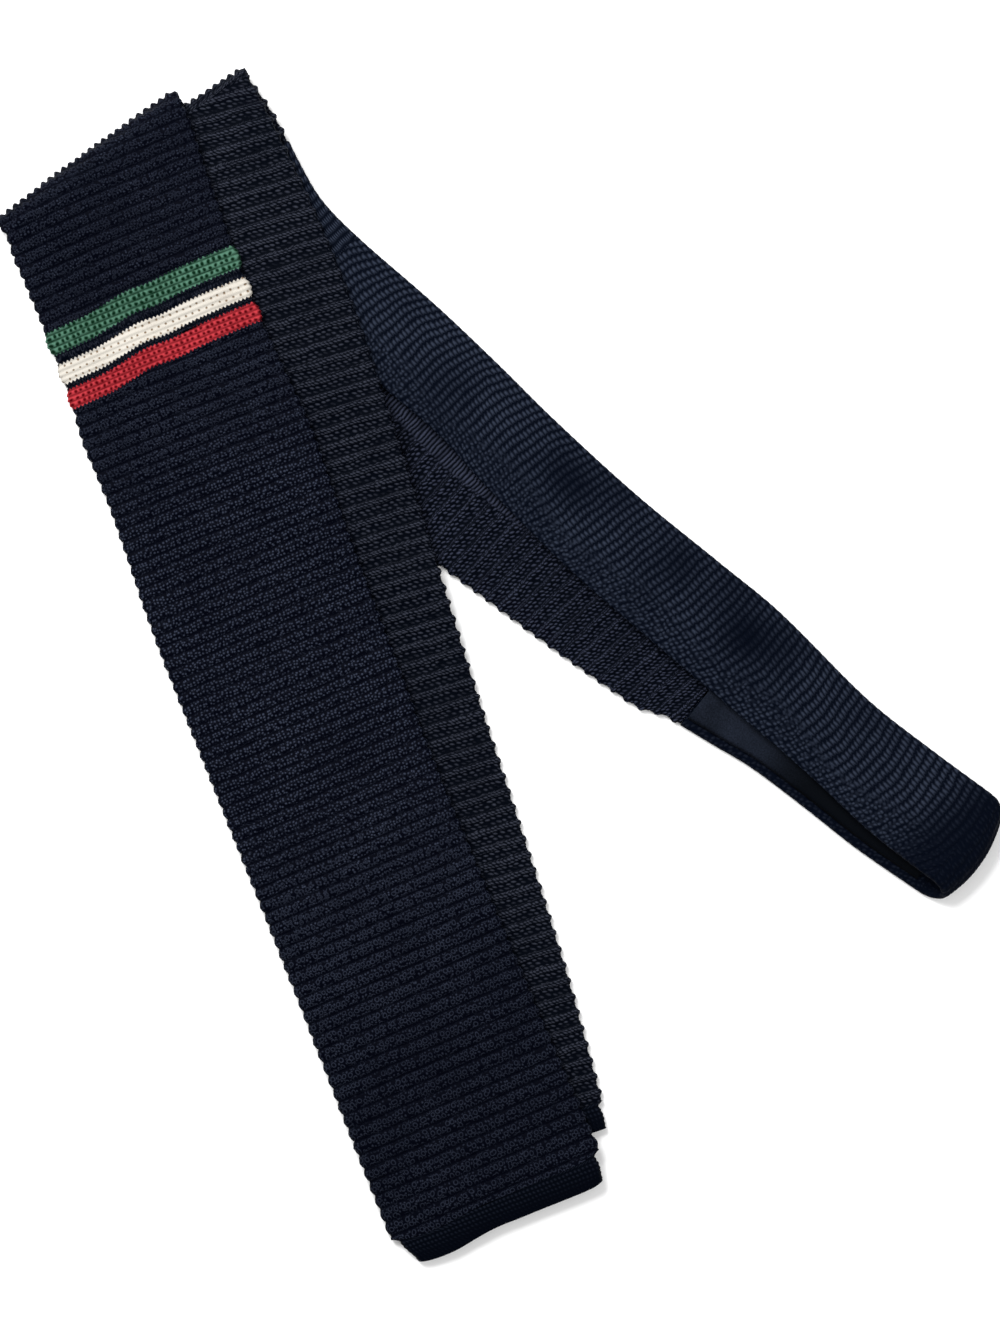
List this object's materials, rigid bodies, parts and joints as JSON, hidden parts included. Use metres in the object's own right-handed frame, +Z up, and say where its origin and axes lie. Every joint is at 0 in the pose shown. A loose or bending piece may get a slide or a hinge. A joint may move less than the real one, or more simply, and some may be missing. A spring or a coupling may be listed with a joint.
{
  "type": "knit tie, folded and laid flat",
  "caption": "Knitted square-end necktie in dark navy with green, white and red bands across the front blade, folded in half and laid flat.",
  "frame": {"origin": "centre of the object's box in plan, at the surface that it lies on", "axes": "+Z up from that surface; +Y towards the folds at the top of the picture; +X towards the picture's right"},
  "size_m": [0.3198, 0.3818, 0.0147],
  "materials": {
    "navy_knit": "ribbed silk knit, dark navy",
    "hem_knit": "fine one-by-one rib knit, darker navy",
    "green_knit": "silk knit, green",
    "cream_knit": "silk knit, cream white",
    "red_knit": "silk knit, red",
    "navy_satin": "smooth satin, navy"
  },
  "bodies": {
    "root": {"front_hem": "hem_knit", "front_blade": "navy_knit", "green_stripe": "green_knit", "navy_band": "navy_knit", "white_stripe": "cream_knit", "navy_line": "navy_knit", "red_stripe": "red_knit", "front_fold": "navy_knit", "under_blade": "navy_knit", "neckband": "navy_knit", "neck_lining": "navy_satin", "tail_fold": "navy_knit", "tail_blade": "navy_knit", "tail_hem": "hem_knit"}
  },
  "joints": []
}
